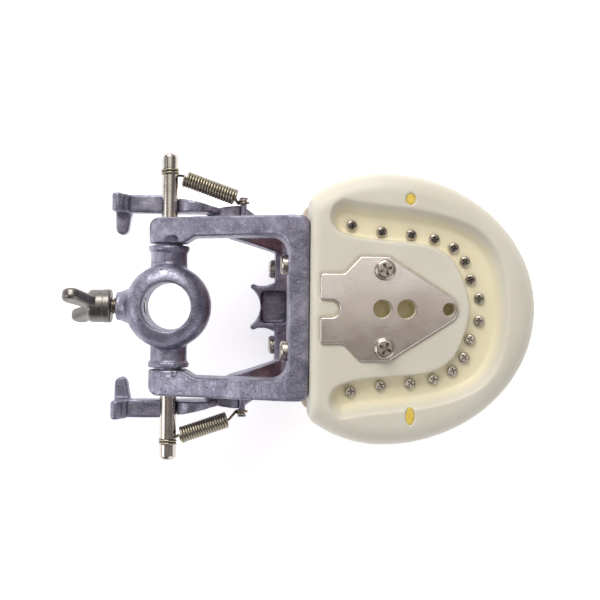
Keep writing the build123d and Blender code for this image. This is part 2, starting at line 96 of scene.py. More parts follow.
class Shade:
    """A node material with one Principled shader, in object coordinates, in metres."""

    def __init__(self, name, **values):
        self.mat = bpy.data.materials.new(name)
        self.mat.use_nodes = True
        self.tree = self.mat.node_tree
        self.bsdf = self.tree.nodes["Principled BSDF"]
        self.coords = self.tree.nodes.new("ShaderNodeTexCoord").outputs["Object"]
        for key, value in values.items():
            self.set(key.replace("_", " "), value)

    def set(self, socket, value):
        for name in self.bsdf.inputs.keys():
            if name.lower() == socket.lower():
                self.bsdf.inputs[name].default_value = value
                return
        raise KeyError(socket)

    def link(self, output, socket):
        self.tree.links.new(output, self.bsdf.inputs[socket])

    def scaled(self, sx, sy, sz):
        """Object coordinates stretched by three factors."""
        node = self.tree.nodes.new("ShaderNodeMapping")
        node.inputs["Scale"].default_value = (sx, sy, sz)
        self.tree.links.new(self.coords, node.inputs["Vector"])
        return node.outputs["Vector"]

    def noise(self, feature, detail=3.0, rough=0.55, vector=None, distort=0.0):
        """Noise whose blobs are about feature metres across."""
        node = self.tree.nodes.new("ShaderNodeTexNoise")
        node.inputs["Scale"].default_value = 1.0 / feature
        node.inputs["Detail"].default_value = detail
        node.inputs["Roughness"].default_value = rough
        node.inputs["Distortion"].default_value = distort
        self.tree.links.new(vector or self.coords, node.inputs["Vector"])
        return node.outputs["Fac"]

    def cells(self, feature):
        """Distance to the middles of cells about feature metres across."""
        node = self.tree.nodes.new("ShaderNodeTexVoronoi")
        node.inputs["Scale"].default_value = 1.0 / feature
        self.tree.links.new(self.coords, node.inputs["Vector"])
        return node.outputs["Distance"]

    def parts(self):
        """Object X, Y and Z as separate outputs."""
        split = self.tree.nodes.new("ShaderNodeSeparateXYZ")
        self.tree.links.new(self.coords, split.inputs[0])
        return split.outputs

    def axis(self, name, low, high):
        """0 to 1 as object X, Y or Z goes from low to high."""
        return self.range(self.parts()[name], low, high, 0.0, 1.0)

    def range(self, source, low, high, out_low, out_high):
        node = self.tree.nodes.new("ShaderNodeMapRange")
        node.inputs["From Min"].default_value = low
        node.inputs["From Max"].default_value = high
        node.inputs["To Min"].default_value = out_low
        node.inputs["To Max"].default_value = out_high
        self.tree.links.new(source, node.inputs["Value"])
        return node.outputs["Result"]

    def ramp(self, source, *stops):
        return colour_ramp(self.tree, source, stops)

    def mix(self, factor, a, b):
        """Mix two colours; a factor, a or b may be an output or a plain value."""
        node = self.tree.nodes.new("ShaderNodeMix")
        node.data_type = "RGBA"
        for socket, value in ((node.inputs["Factor"], factor), (node.inputs[6], a),
                              (node.inputs[7], b)):
            if isinstance(value, bpy.types.NodeSocket):
                self.tree.links.new(value, socket)
            elif isinstance(value, tuple):
                socket.default_value = (*value, 1.0)
            else:
                socket.default_value = value
        return node.outputs[2]

    def maths(self, kind, a, b=0.0):
        node = self.tree.nodes.new("ShaderNodeMath")
        node.operation = kind
        for socket, value in ((node.inputs[0], a), (node.inputs[1], b)):
            if isinstance(value, bpy.types.NodeSocket):
                self.tree.links.new(value, socket)
            else:
                socket.default_value = value
        return node.outputs[0]

    def painted_crevice_shade(self, colour, distance, strength, shade_colour):
        """Painted shade: darken a colour in the piece's own crevices, found by ambient occlusion, out
        to a distance in metres.
        """
        node = self.tree.nodes.new("ShaderNodeAmbientOcclusion")
        node.only_local = True
        node.samples = 8
        node.inputs["Distance"].default_value = distance
        hidden = self.range(node.outputs["AO"], 0.30, 0.88, strength, 0.0)
        return self.mix(hidden, colour, shade_colour)

    def bump(self, *layers):
        """Chain of bumps; each layer is (height output, distance in metres, strength)."""
        normal = None
        for height, distance, strength in layers:
            node = self.tree.nodes.new("ShaderNodeBump")
            node.inputs["Distance"].default_value = distance
            node.inputs["Strength"].default_value = strength
            self.tree.links.new(height, node.inputs["Height"])
            if normal is not None:
                self.tree.links.new(normal, node.inputs["Normal"])
            normal = node.outputs["Normal"]
        self.link(normal, "Normal")


RECESS_DEPTH = 4.2 * MM                 # the painted shade of the arch-shaped channel is full here
RIM_DROP = 1.2 * MM                     # and not at all above this depth
RECESS_SHADE_FROM_X = 42.5 * MM                 # the painted shade comes in between these two, from the back
RECESS_SHADE_FULL_X = 44.5 * MM


def cream_plastic(name, top_z, down):
    """Cast resin: warm ivory, with faint flow marks and scuffs, and a painted shade that makes it
    yellower down in the recess, for the shaded, translucent resin there.
    """
    s = Shade(name, Roughness=0.42, Subsurface_Weight=0.25, Subsurface_Scale=0.0015,
              Coat_Weight=0.08, Coat_Roughness=0.35)
    s.set("Subsurface Radius", (1.0, 0.7, 0.4))
    cloud = s.noise(0.018, 3.0)
    pale = s.ramp(cloud, (0.30, (0.690, 0.655, 0.540)), (0.72, (0.745, 0.712, 0.605)))
    floor_z, rim_z = top_z - down * RECESS_DEPTH, top_z - down * RIM_DROP
    low, high = min(floor_z, rim_z), max(floor_z, rim_z)
    depth = s.axis("Z", low, high)
    if down < 0:
        depth = s.maths("SUBTRACT", 1.0, depth)
    plan = s.parts()
    ahead = s.maths("DIVIDE", s.maths("SUBTRACT", plan["X"], OUTLINE_MID_X), OUTLINE_AHEAD)
    aside = s.maths("DIVIDE", plan["Y"], OUTLINE_HALF)
    far = s.maths("SQRT", s.maths("ADD", s.maths("MULTIPLY", ahead, ahead),
                                  s.maths("MULTIPLY", aside, aside)))
    inside = s.maths("MULTIPLY", s.range(far, 0.80, 0.86, 1.0, 0.0),
                     s.range(plan["X"], RECESS_SHADE_FROM_X, RECESS_SHADE_FULL_X, 0.0, 1.0))
    # painted shade: yellower with depth in the recess, inside the outline and ahead of the back
    recess_shade = s.maths("MULTIPLY", s.maths("SUBTRACT", 1.0, depth),
                  s.maths("MULTIPLY", inside, 0.8))
    colour = s.mix(recess_shade, pale, (0.93, 0.845, 0.575))
    speck = s.range(s.noise(0.0006, 2.0), 0.68, 0.80, 0.0, 0.10)
    s.link(s.mix(speck, colour, (0.52, 0.45, 0.33)), "Base Color")
    s.link(s.range(s.noise(0.004, 4.0), 0.3, 0.7, 0.36, 0.50), "Roughness")
    s.bump((s.noise(0.009, 2.0), 0.0004, 0.25), (s.noise(0.0007, 3.0), 0.00006, 0.5))
    return s.mat


def cast_metal(name):
    """Dark tumbled die casting, violet grey, pitted and speckled with a finer, lighter grain."""
    s = Shade(name, Metallic=0.85, Roughness=0.42)
    cloud = s.noise(0.006, 4.0, 0.6)
    base = s.ramp(cloud, (0.28, (0.15, 0.145, 0.20)), (0.55, (0.28, 0.27, 0.35)),
                  (0.80, (0.52, 0.505, 0.605)))
    grain = s.range(s.noise(0.00055, 3.0, 0.7), 0.50, 0.72, 0.0, 0.55)
    base = s.mix(grain, base, (0.62, 0.60, 0.70))
    pits = s.range(s.noise(0.0011, 2.0, 0.6), 0.30, 0.37, 0.75, 0.0)
    patch = s.range(s.noise(0.007, 2.0), 0.50, 0.62, 0.0, 1.0)
    pits = s.maths("MULTIPLY", pits, patch)
    base = s.mix(pits, base, (0.06, 0.055, 0.08))
    # painted shade: hollows and inner edges of the casting darkened almost to black violet
    s.link(s.painted_crevice_shade(base, 0.0030, 0.8, (0.045, 0.042, 0.06)), "Base Color")
    s.link(s.range(s.noise(0.0008, 3.0), 0.3, 0.7, 0.30, 0.52), "Roughness")
    deep = s.maths("SUBTRACT", 1.0, pits)
    s.bump((s.noise(0.010, 2.0), 0.0014, 0.5), (s.noise(0.003, 3.0), 0.0003, 0.45),
           (s.noise(0.0005, 3.0, 0.65), 0.00006, 0.8),
           (deep, 0.00012, 0.8))
    return s.mat


DOME = 1.6                              # crowning of the plate: fall in metres is DOME * Y * Y


def nickel_plate(name):
    """Stamped steel with warm nickel plating: gently wavy, finely scratched, a few dull spots."""
    s = Shade(name, Metallic=1.0, Roughness=0.2)
    waves = s.noise(0.014, 2.0)
    base = s.ramp(waves, (0.25, (0.70, 0.63, 0.57)), (0.75, (0.80, 0.74, 0.69)))
    rub = s.noise(0.0009, 2.0, 0.5, s.scaled(0.25, 3.2, 1.0))
    scratch = s.range(rub, 0.62, 0.70, 0.0, 0.16)
    base = s.mix(scratch, base, (0.46, 0.41, 0.36))
    spot = s.range(s.noise(0.0032, 2.0), 0.68, 0.76, 0.0, 0.22)
    base = s.mix(spot, base, (0.36, 0.31, 0.27))
    s.link(base, "Base Color")
    s.link(s.range(s.noise(0.0035, 3.0), 0.3, 0.75, 0.20, 0.30), "Roughness")
    plan = s.parts()
    aside = s.maths("MULTIPLY", plan["Y"], plan["Y"])
    dome = s.maths("MULTIPLY", aside, -DOME)
    s.bump((dome, 1.0, 1.0), (s.noise(0.014, 1.0), 0.0007, 0.35),
           (s.noise(0.0005, 3.0), 0.00001, 0.6))
    return s.mat


def bright_steel(name, colour, rough, along=(1.0, 1.0, 1.0)):
    """Turned or drawn steel; along stretches the tool marks."""
    s = Shade(name, Metallic=1.0, Roughness=rough)
    marks = s.noise(0.00045, 2.0, 0.5, s.scaled(*along))
    dark = tuple(c * 0.62 for c in colour)
    tarnish = s.range(s.noise(0.0035, 3.0), 0.45, 0.75, 0.0, 0.6)
    base = s.mix(tarnish, colour, dark)
    # painted shade: the piece's recesses, such as a screw's cross and seat, darkened almost to black
    s.link(s.painted_crevice_shade(base, 0.0009, 0.92, (0.03, 0.024, 0.018)), "Base Color")
    s.link(s.range(marks, 0.3, 0.7, rough * 0.75, rough * 1.5), "Roughness")
    s.bump((marks, 0.00002, 0.5))
    return s.mat


def gum_flesh(name):
    """Soft pink gum: stippled, blotched and veined. stippled, blotched, a little darker away from the
    crowns.
    """
    s = Shade(name, Roughness=0.38, Subsurface_Weight=0.35, Subsurface_Scale=0.002,
              Coat_Weight=0.35, Coat_Roughness=0.22)
    s.set("Subsurface Radius", (1.0, 0.35, 0.25))
    blotch = s.noise(0.004, 4.0)
    base = s.ramp(blotch, (0.28, (0.60, 0.17, 0.165)), (0.55, (0.70, 0.235, 0.225)),
                  (0.80, (0.78, 0.32, 0.30)))
    veins = s.range(s.noise(0.0018, 4.0, 0.6, distort=1.2), 0.60, 0.68, 0.0, 0.35)
    s.link(s.mix(veins, base, (0.50, 0.09, 0.10)), "Base Color")
    s.link(s.range(blotch, 0.3, 0.7, 0.30, 0.46), "Roughness")
    s.bump((s.cells(0.0011), 0.00012, 0.35), (s.noise(0.0004, 2.0), 0.00004, 0.4))
    return s.mat


NECK_HEIGHT = 9.5 * MM                  # from the bite to the amber neck of a tooth


def tooth_enamel(name, bite_z, way):
    """Resin tooth: amber at the neck, ivory body, greyer and clearer at the biting edge."""
    s = Shade(name, Roughness=0.18, Subsurface_Weight=0.3, Subsurface_Scale=0.0012,
              Coat_Weight=0.6, Coat_Roughness=0.08, IOR=1.54)
    s.set("Subsurface Radius", (1.0, 0.8, 0.55))
    neck_z = bite_z + way * NECK_HEIGHT
    height = s.axis("Z", min(bite_z, neck_z), max(bite_z, neck_z))
    if way < 0:
        height = s.maths("SUBTRACT", 1.0, height)
    wobble = s.range(s.noise(0.002, 2.0), 0.3, 0.7, -0.06, 0.06)
    height = s.maths("ADD", height, wobble)
    base = s.ramp(height, (0.02, (0.70, 0.68, 0.60)), (0.22, (0.80, 0.755, 0.635)),
                  (0.60, (0.80, 0.725, 0.56)), (0.95, (0.70, 0.56, 0.355)))
    s.link(base, "Base Color")
    streak = s.noise(0.0012, 3.0, 0.5, s.scaled(1.0, 1.0, 0.25))
    s.link(s.range(streak, 0.3, 0.7, 0.14, 0.26), "Roughness")
    s.bump((streak, 0.00005, 0.35), (s.noise(0.0003, 2.0, 0.5, s.scaled(1, 1, 4)), 0.00001, 0.5))
    return s.mat


def amber_plug(name):
    """Cast amber locating plug, cloudy and matt on top."""
    s = Shade(name, Roughness=0.4, Subsurface_Weight=0.3, Subsurface_Scale=0.001)
    s.set("Subsurface Radius", (1.0, 0.6, 0.1))
    s.link(s.ramp(s.noise(0.0012, 3.0), (0.3, (0.74, 0.50, 0.055)), (0.7, (0.88, 0.70, 0.16))),
           "Base Color")
    s.bump((s.noise(0.0006, 2.0), 0.00005, 0.6))
    return s.mat


def floor_paper(name):
    """Pale lit sweep under the model."""
    s = Shade(name, Roughness=0.9)
    s.link(s.ramp(s.noise(0.004, 3.0), (0.2, (0.90, 0.895, 0.905)), (0.8, (0.915, 0.91, 0.92))),
           "Base Color")
    s.set("Emission Color", (0.985, 0.975, 1.0, 1.0))
    s.set("Emission Strength", 0.55)
    return s.mat


MATERIALS = {
    "upper_base": cream_plastic("cream_resin_upper", UPPER_HIGH.z, 1),
    "lower_base": cream_plastic("cream_resin_lower", LOWER_LOW.z, -1),
    "casting": cast_metal("tumbled_casting"),
    "plate": nickel_plate("nickel_plated_sheet"),
    "pin": bright_steel("ground_pin_steel", (0.66, 0.62, 0.56), 0.15, (1.0, 2.5, 1.0)),
    "screw": bright_steel("nickel_screw_steel", (0.55, 0.50, 0.43), 0.22),
    "wing": bright_steel("nickel_wing_casting", (0.22, 0.205, 0.19), 0.30),
    "spring": bright_steel("drawn_spring_wire", (0.40, 0.36, 0.27), 0.26),
    "gum": gum_flesh("soft_gum"),
    "upper_tooth": tooth_enamel("enamel_upper", BITE_Z, 1),
    "lower_tooth": tooth_enamel("enamel_lower", BITE_Z, -1),
    "plug": amber_plug("amber_plug"),
}


def paint(node, key):
    """Give a carried-over CAD node its finish."""
    obj = nodes[node]
    for place in obj.material_slots:
        place.material = MATERIALS[key]


# =================================================================== mesh helpers
def add_piece(name, verts, faces, body, key):
    """New mesh piece that takes a finish, and rides on a body if one is named."""
    mesh = bpy.data.meshes.new(name)
    mesh.from_pydata(verts, [], faces)
    mesh.validate()
    bm = bmesh.new()
    bm.from_mesh(mesh)
    bmesh.ops.remove_doubles(bm, verts=bm.verts, dist=1e-7)
    bmesh.ops.recalc_face_normals(bm, faces=bm.faces)
    bm.to_mesh(mesh)
    bm.free()
    mesh.polygons.foreach_set("use_smooth", [True] * len(mesh.polygons))
    mesh.materials.append(MATERIALS[key])
    obj = bpy.data.objects.new(name, mesh)
    bpy.context.scene.collection.objects.link(obj)
    if body:
        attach(obj, body)
    return obj


def grid_faces(rows, cols, wrap):
    """Quads of a grid of rows by cols; wrap joins the last column to the first."""
    last = cols if wrap else cols - 1
    return [(r * cols + c, r * cols + (c + 1) % cols,
             (r + 1) * cols + (c + 1) % cols, (r + 1) * cols + c)
            for r in range(rows - 1) for c in range(last)]


def smooth_step(x, low, high):
    """0 below low, 1 above high, and an eased rise between them."""
    t = min(1.0, max(0.0, (x - low) / (high - low)))
    return t * t * (3 - 2 * t)


def lerp(a, b, t):
    return a + (b - a) * t


def tube(path, radius, sides):
    """Closed tube of one radius along a list of points, without twist."""
    verts = []
    ahead = (path[1] - path[0]).normalized()
    side = ahead.orthogonal().normalized()
    for i, point in enumerate(path):
        a = path[max(0, i - 1)]
        b = path[min(len(path) - 1, i + 1)]
        ahead = (b - a).normalized()
        side = (side - ahead * side.dot(ahead)).normalized()
        up = ahead.cross(side)
        for k in range(sides):
            turn = 2 * math.pi * k / sides
            verts.append(point + (side * math.cos(turn) + up * math.sin(turn)) * radius)
    faces = grid_faces(len(path), sides, True)
    faces.append(tuple(range(sides - 1, -1, -1)))
    end = (len(path) - 1) * sides
    faces.append(tuple(range(end, end + sides)))
    return verts, faces


# =================================================================== teeth
LEVEL_BAND = 0.3 * MM                   # CAD points this near a level count as on it


def crown_places(jaw):
    """Per tooth of one side, midline to back: centre at the biting end and at the gum edge."""
    way = 1 if jaw == "upper" else -1
    gum_edge = BITE_Z + way * (GUM_Z - BITE_Z)
    places = []
    for tooth in TEETH:
        points = [v.co for v in nodes[jaw + "_left_" + tooth].data.vertices]
        pair = []
        for level in (BITE_Z, gum_edge):
            near = [p for p in points if abs(p.z - level) < LEVEL_BAND]
            xs, ys = [p.x for p in near], [p.y for p in near]
            pair.append(Vector(((min(xs) + max(xs)) / 2, (min(ys) + max(ys)) / 2, level)))
        places.append(pair)
    return places


def arch_heading(places, number):
    """Unit vector along the arch at a tooth, pointing away from the midline."""
    first = places[0][0]
    before = places[number - 1][0] if number else Vector((first.x, -first.y, first.z))
    after = places[min(number + 1, len(TEETH) - 1)][0]
    along = after - before
    along.z = 0
    return along.normalized()


# outline of a crown by height: share of the height from the biting end, half width as a
# share of the width, and outer and inner face as shares of the depth
FRONT_ROWS = [(0.00, 0.46, 0.10, -0.02), (0.05, 0.475, 0.15, -0.05), (0.20, 0.495, 0.25, -0.10),
              (0.42, 0.49, 0.36, -0.19), (0.64, 0.455, 0.44, -0.36), (0.84, 0.41, 0.47, -0.46),
              (1.00, 0.375, 0.44, -0.45), (1.30, 0.31, 0.36, -0.38)]
BACK_ROWS = [(0.00, 0.440, 0.31, -0.31), (0.10, 0.474, 0.385, -0.385), (0.26, 0.494, 0.45, -0.455),
             (0.48, 0.495, 0.49, -0.49), (0.72, 0.465, 0.48, -0.475), (1.00, 0.43, 0.44, -0.435),
             (1.30, 0.39, 0.38, -0.38)]
# cusps: place across the biting face (-1 to 1 each way) and height share
PREMOLAR_CUSPS = [(0.0, 0.60, 1.0), (-0.05, -0.58, 0.86)]
MOLAR_CUSPS = [(0.50, 0.58, 1.0), (-0.48, 0.60, 0.96), (0.52, -0.56, 0.90), (-0.46, -0.60, 0.95)]
SIDES = 36                              # points round a crown
CUSP_TOP = 1.05                         # highest a cusp may stand, as a share of the relief
BITE_GAP = 0.12 * MM                    # left open between a crown and the plane of the bite
ROOT_STUB = 1.0 * MM                    # crown's length past the edge of the gum
WIDTH_SHARE = 0.985                     # of the full width, so that neighbours just clear
# sizes of the rings that fill in a crown's biting end, as shares of its outline there
FRONT_STEPS = (0.88, 0.70, 0.50, 0.30, 0.12)
BACK_STEPS = (0.93, 0.84, 0.72, 0.58, 0.43, 0.28, 0.13)


def round_corner(k, power):
    """Point k of SIDES on a unit outline between a circle and a square."""
    turn = 2 * math.pi * k / SIDES
    c, s = math.cos(turn), math.sin(turn)
    return math.copysign(abs(c) ** power, c), math.copysign(abs(s) ** power, s)


def cusp_height(x, y, cusps, spread):
    """0 in the fossa to about 1 on a cusp, with grooves between the cusps."""
    top = 0.0
    for cx, cy, share in cusps:
        gap = ((x - cx) / spread[0]) ** 2 + ((y - cy) / spread[1]) ** 2
        top = max(top, 0.0) + share * math.exp(-gap)
    groove = 0.30 * math.exp(-(y / 0.10) ** 2) * smooth_step(0.9 - abs(x), 0.0, 0.35)
    if len(cusps) > 2:
        groove += 0.24 * math.exp(-((x - 0.04) / 0.09) ** 2)
    return max(0.0, min(CUSP_TOP, top) - groove)


def crown_points(number, width, depth, height):
    """Rings of a crown in its own axes: x along the arch, y outward, z away from the bite."""
    front = number <= CANINE
    rows = FRONT_ROWS if front else BACK_ROWS
    power = 2.0 / (2.2 if front else 2.75)
    cusps = PREMOLAR_CUSPS if number < FIRST_MOLAR else MOLAR_CUSPS
    spread = (0.62, 0.46) if number < FIRST_MOLAR else (0.44, 0.42)
    relief = 1.8 * MM if number < FIRST_MOLAR else 1.5 * MM

    def biting_z(u, v):
        """A canine comes to one point, an incisor is nearly straight, the others have cusps."""
        if number == CANINE:
            return (0.15 + 1.9 * abs(u - 0.08) ** 1.3) * MM
        if front:
            return (0.05 + 0.55 * abs(u) ** 3.0 + 0.10 * (1 - math.cos(u * 9.4)) * 0.5) * MM
        return (CUSP_TOP - cusp_height(u, v, cusps, spread)) * relief

    rings = []
    for share, half, outer, inner in rows:
        ring = []
        for k in range(SIDES):
            u, v = round_corner(k, power)
            x = u * half * width
            middle, reach = (outer + inner) / 2, (outer - inner) / 2
            y = (middle + v * reach) * depth
            if number == CANINE and v > 0:
                y += (1 - u * u) * 0.05 * depth
            if front and v < 0:
                y += (1 - u * u) * 0.05 * depth * math.sin(math.pi * min(1.0, share * 1.5))
            edge = biting_z(u, v)
            ring.append(Vector((x, y, lerp(edge, height, share))))
        rings.append(ring)
    crown = []
    _, half, outer, inner = rows[0]
    middle, reach = (outer + inner) / 2, (outer - inner) / 2
    for shrink in FRONT_STEPS if front else BACK_STEPS:
        ring = []
        for k in range(SIDES):
            u, v = (shrink * reached for reached in round_corner(k, power))
            lift = -0.12 * MM * (1 - shrink) if front else 0.0
            ring.append(Vector((u * half * width, (middle + v * reach) * depth,
                                biting_z(u, v) + lift)))
        crown.append(ring)
    return list(reversed(crown)) + rings


def build_tooth(jaw, side, number, places):
    """One crown with a stub of root that ends inside the gum."""
    way = 1 if jaw == "upper" else -1
    mirror = 1 if side == "left" else -1
    width, depth = (v * MM for v in CROWNS[jaw][number])
    at_bite, at_gum = places[number]
    along = arch_heading(places, number)
    outward = Vector((along.y, -along.x, 0))
    rise = at_gum.z - at_bite.z
    rings = crown_points(number, width * WIDTH_SHARE, depth, abs(rise) + ROOT_STUB)
    verts = []
    for ring in rings:
        for p in ring:
            share = p.z / abs(rise)
            centre = at_bite.lerp(at_gum, share)
            spot = centre + along * p.x + outward * p.y
            verts.append((spot.x, spot.y * mirror, at_bite.z + way * (BITE_GAP + p.z)))
    faces = grid_faces(len(rings), SIDES, True)
    faces.append(tuple(range(SIDES)))
    last = (len(rings) - 1) * SIDES
    faces.append(tuple(range(last, last + SIDES)))
    name = jaw + "_" + side + "_" + TEETH[number]
    obj = add_piece(name + "_crown", verts, faces, jaw + "_jaw", jaw + "_tooth")
    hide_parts(name)
    rounder = obj.modifiers.new("round", "SUBSURF")
    rounder.levels = rounder.render_levels = 1


# =================================================================== gums
def spline_at(points, u):
    """Catmull-Rom through points, where u counts from the first one."""
    i = max(0, min(len(points) - 2, int(math.floor(u))))
    t = u - i
    p0 = points[i - 1] if i else points[0] * 2 - points[1]
    p1, p2 = points[i], points[i + 1]
    p3 = points[i + 2] if i + 2 < len(points) else p2 * 2 - p1
    return (p1 * 2 + (p2 - p0) * t + (p0 * 2 - p1 * 5 + p2 * 4 - p3) * t * t
            + (p1 * 3 - p0 - p2 * 3 + p3) * t * t * t) * 0.5


GUM_STEPS = 7                            # stations along each tooth
MID_STEPS = 9                            # points from the arch's inner side to the midline
GUM_INSET = 0.9 * MM                     # from the base's outline to the gum
GUM_BACK = 2.2 * MM                      # from the base's straight back to the gum
GUM_THICK = 2.0 * MM                     # of the shell, from its face to its hidden side
HUB_X = {"upper": 79 * MM, "lower": 77 * MM}     # foremost point that the midline rows run to
# heights in mm, measured from the gum's edge away from the bite
EDGE_TOP = 4.2                           # inner end of the section across the arch
PALATE_LOW = 4.3                         # palate at its front and back ends
PALATE_TOP = 9.0                         # and in its middle
MOUTH_FLOOR = 4.7


def gum_limit(x):
    """Half width that the gum may have at x, just inside the base's own outline."""
    share = min(0.98, max(0.0, (OUTLINE_MID_X - x) / OUTLINE_BEHIND))
    wide = OUTLINE_HALF * math.sqrt(1 - share * share) - GUM_INSET
    corner = max(0.0, OUTLINE_CORNER - (x - BACK_X))
    return wide - (OUTLINE_CORNER - math.sqrt(max(0.0, OUTLINE_CORNER ** 2 - corner ** 2)))


def gum_profile(half, hill):
    """Section across the arch, cheek to tongue: (metres outward, height in mm).

    hill is 1 at the middle of a tooth and 0 between two teeth.
    """
    margin = lerp(-1.9, 1.0, hill)
    crest = lerp(-2.3, 1.8, hill)
    eminence = 0.75 * hill
    return [(half + 2.9 * MM, 6.0), (half + 2.75 * MM, 5.2),
            (half + (2.25 + 0.5 * eminence) * MM, 4.1),
            (half + (1.60 + 0.8 * eminence) * MM, 2.9 + 0.3 * margin),
            (half + (1.10 + 0.6 * eminence) * MM, 1.5 + 0.8 * margin),
            (half + (0.75 + 0.2 * eminence) * MM, 0.55 + margin),
            (half + 0.35 * MM, 0.02 + margin), (half - 0.25 * MM, 0.0 + margin * 0.9),
            (half - 1.1 * MM, crest), (0.0, crest - 0.1 * (1 - hill)),
            (-half + 1.1 * MM, crest), (-half + 0.25 * MM, 0.1 + margin * 0.8),
            (-half - 0.4 * MM, 0.12 + margin * 0.8), (-half - 0.9 * MM, 0.9 + margin * 0.7),
            (-half - 1.5 * MM, 2.0 + margin * 0.4), (-half - 2.4 * MM, 3.2),
            (-half - 3.9 * MM, EDGE_TOP)]


def mouth_height(jaw, spot, t):
    """Height in mm of the palate or mouth floor; t is 0 at the arch and 1 at the midline."""
    rise = math.sin(t * math.pi / 2)
    if jaw == "lower":
        return lerp(EDGE_TOP, MOUTH_FLOOR, rise)
    # the vault rises from the back and comes down again behind the front teeth
    arch = smooth_step(spot.x, 47 * MM, 57 * MM) * (1 - smooth_step(spot.x, 70 * MM, 84 * MM))
    height = lerp(EDGE_TOP, lerp(PALATE_LOW, PALATE_TOP, arch), rise)
    # cross ridges on its front part, and a shallow groove along the midline
    ridge = math.sin((spot.x / MM + abs(spot.y / MM) * 0.35) * 1.75)
    zone = smooth_step(spot.x, 64 * MM, 70 * MM) * smooth_step(t, 0.0, 0.3)
    height -= 0.45 * zone * max(0.0, ridge) * smooth_step(abs(spot.y), 0, 2 * MM)
    return height - 0.5 * zone * math.exp(-(spot.y / (1.1 * MM)) ** 2)


def gum_half(jaw, places):
    """Rows of the visible surface of one half gum, midline to back, in upper-jaw heights."""
    centres = [p[1].copy() for p in places]
    knots = [Vector((centres[0].x, -centres[0].y, 0))] + [Vector((c.x, c.y, 0)) for c in centres]
    knots.append(knots[-1] * 2 - knots[-2])
    depths = [CROWNS[jaw][0][1]] + [d for _, d in CROWNS[jaw]] + [CROWNS[jaw][-1][1]]
    back = BACK_X + GUM_BACK
    rows = []
    step = 0
    while True:
        u = step / GUM_STEPS
        place = spline_at(knots, u + 0.5)
        ahead = spline_at(knots, u + 0.52) - spline_at(knots, u + 0.48)
        last = place.x <= back
        if last:
            place.x = back
            ahead = Vector((-1, 0, 0))
        out = Vector((ahead.y, -ahead.x, 0)).normalized()
        lean = smooth_step(place.x, BACK_X + 1 * MM, BACK_X + 9 * MM)
        out = Vector((out.x * lean, out.y, 0)).normalized()
        near = int(u + 0.5)
        blend = u + 0.5 - near
        end = len(depths) - 1
        half = lerp(depths[min(near, end)], depths[min(near + 1, end)], blend) * 0.445 * MM
        hill = 0.5 + 0.5 * math.cos(2 * math.pi * (u - 0.5))
        if u > len(TEETH):
            hill = 0.35
            half *= lerp(1.0, 0.86, min(1.0, u - len(TEETH)))
        row = [Vector((place.x + out.x * o, place.y + out.y * o, z * MM))
               for o, z in gum_profile(half, hill)]
        for p in row:
            p.y = min(p.y, gum_limit(p.x))
        edge = row[-1]
        middle = Vector((min(place.x, HUB_X[jaw]), 0, 0))
        for k in range(1, MID_STEPS + 1):
            t = k / MID_STEPS
            spot = edge.lerp(middle, t)
            row.append(Vector((spot.x, spot.y, mouth_height(jaw, spot, t) * MM)))
        row[-1].y = 0.0
        rows.append(row)
        if last:
            return rows
        step += 1


def build_gum(jaw, places):
    """Gum over the arch: scalloped collar, ridges over the roots, palate or floor; a closed shell."""
    rows = gum_half(jaw, places)
    wide = len(rows[0])
    verts, faces = [], []
    for mirror in (1, -1):
        face_start = len(verts)
        for row in rows:
            for p in row:
                verts.append((p.x, p.y * mirror, p.z))
        back_start = len(verts)
        for row in rows:
            for k, p in enumerate(row):
                top = GUM_DEPTH if k == 0 else max(GUM_DEPTH, p.z + GUM_THICK)
                verts.append((p.x, p.y * mirror, top))
        for a, b, c, d in grid_faces(len(rows), wide, False):
            front = (face_start + a, face_start + b, face_start + c, face_start + d)
            rear = (back_start + d, back_start + c, back_start + b, back_start + a)
            faces += [front, rear] if mirror > 0 else [front[::-1], rear[::-1]]
        last = (len(rows) - 1) * wide
        for k in range(wide - 1):
            a, b = face_start + last + k, face_start + last + k + 1
            c, d = back_start + last + k + 1, back_start + last + k
            faces.append((a, b, c, d) if mirror > 0 else (d, c, b, a))
    way = 1 if jaw == "upper" else -1
    edge = BITE_Z + way * (GUM_Z - BITE_Z)
    verts = [(x, y, edge + way * z) for x, y, z in verts]
    obj = add_piece(jaw + "_soft_gum", verts, faces, jaw + "_jaw", "gum")
    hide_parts(jaw + "_gum")
    rounder = obj.modifiers.new("round", "SUBSURF")
    rounder.levels = rounder.render_levels = 1


for jaw in ("upper", "lower"):
    jaw_places = crown_places(jaw)
    for number in range(len(TEETH)):
        for side in ("left", "right"):
            build_tooth(jaw, side, number, jaw_places)
    build_gum(jaw, jaw_places)


# =================================================================== castings
WAVE_COARSE = 260                       # waviness of a cast face, in waves per metre
WAVE_FINE = 900


def cast_copy(node, body, key, cell, rounds, rough):
    """The node's shape with soft cast edges: even cells, smoothed, with a little waviness."""
    mesh = nodes[node].data.copy()
    obj = bpy.data.objects.new(node + "_cast", mesh)
    bpy.context.scene.collection.objects.link(obj)
    remesh = obj.modifiers.new("cells", "REMESH")
    remesh.mode = "VOXEL"
    remesh.voxel_size = cell
    relax = obj.modifiers.new("relax", "SMOOTH")
    relax.factor = 0.5
    relax.iterations = rounds
    bpy.context.view_layer.update()
    made = bpy.data.meshes.new_from_object(
        obj.evaluated_get(bpy.context.evaluated_depsgraph_get()))
    obj.modifiers.clear()
    obj.data = made
    moved = []
    for v in made.vertices:
        shift = noise.noise(v.co * WAVE_COARSE) * 0.6 + noise.noise(v.co * WAVE_FINE) * 0.4
        moved.extend(v.co + v.normal * shift * rough)
    made.vertices.foreach_set("co", moved)
    made.update()
    made.materials.clear()
    made.materials.append(MATERIALS[key])
    made.polygons.foreach_set("use_smooth", [True] * len(made.polygons))
    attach(obj, body)
    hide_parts(node)


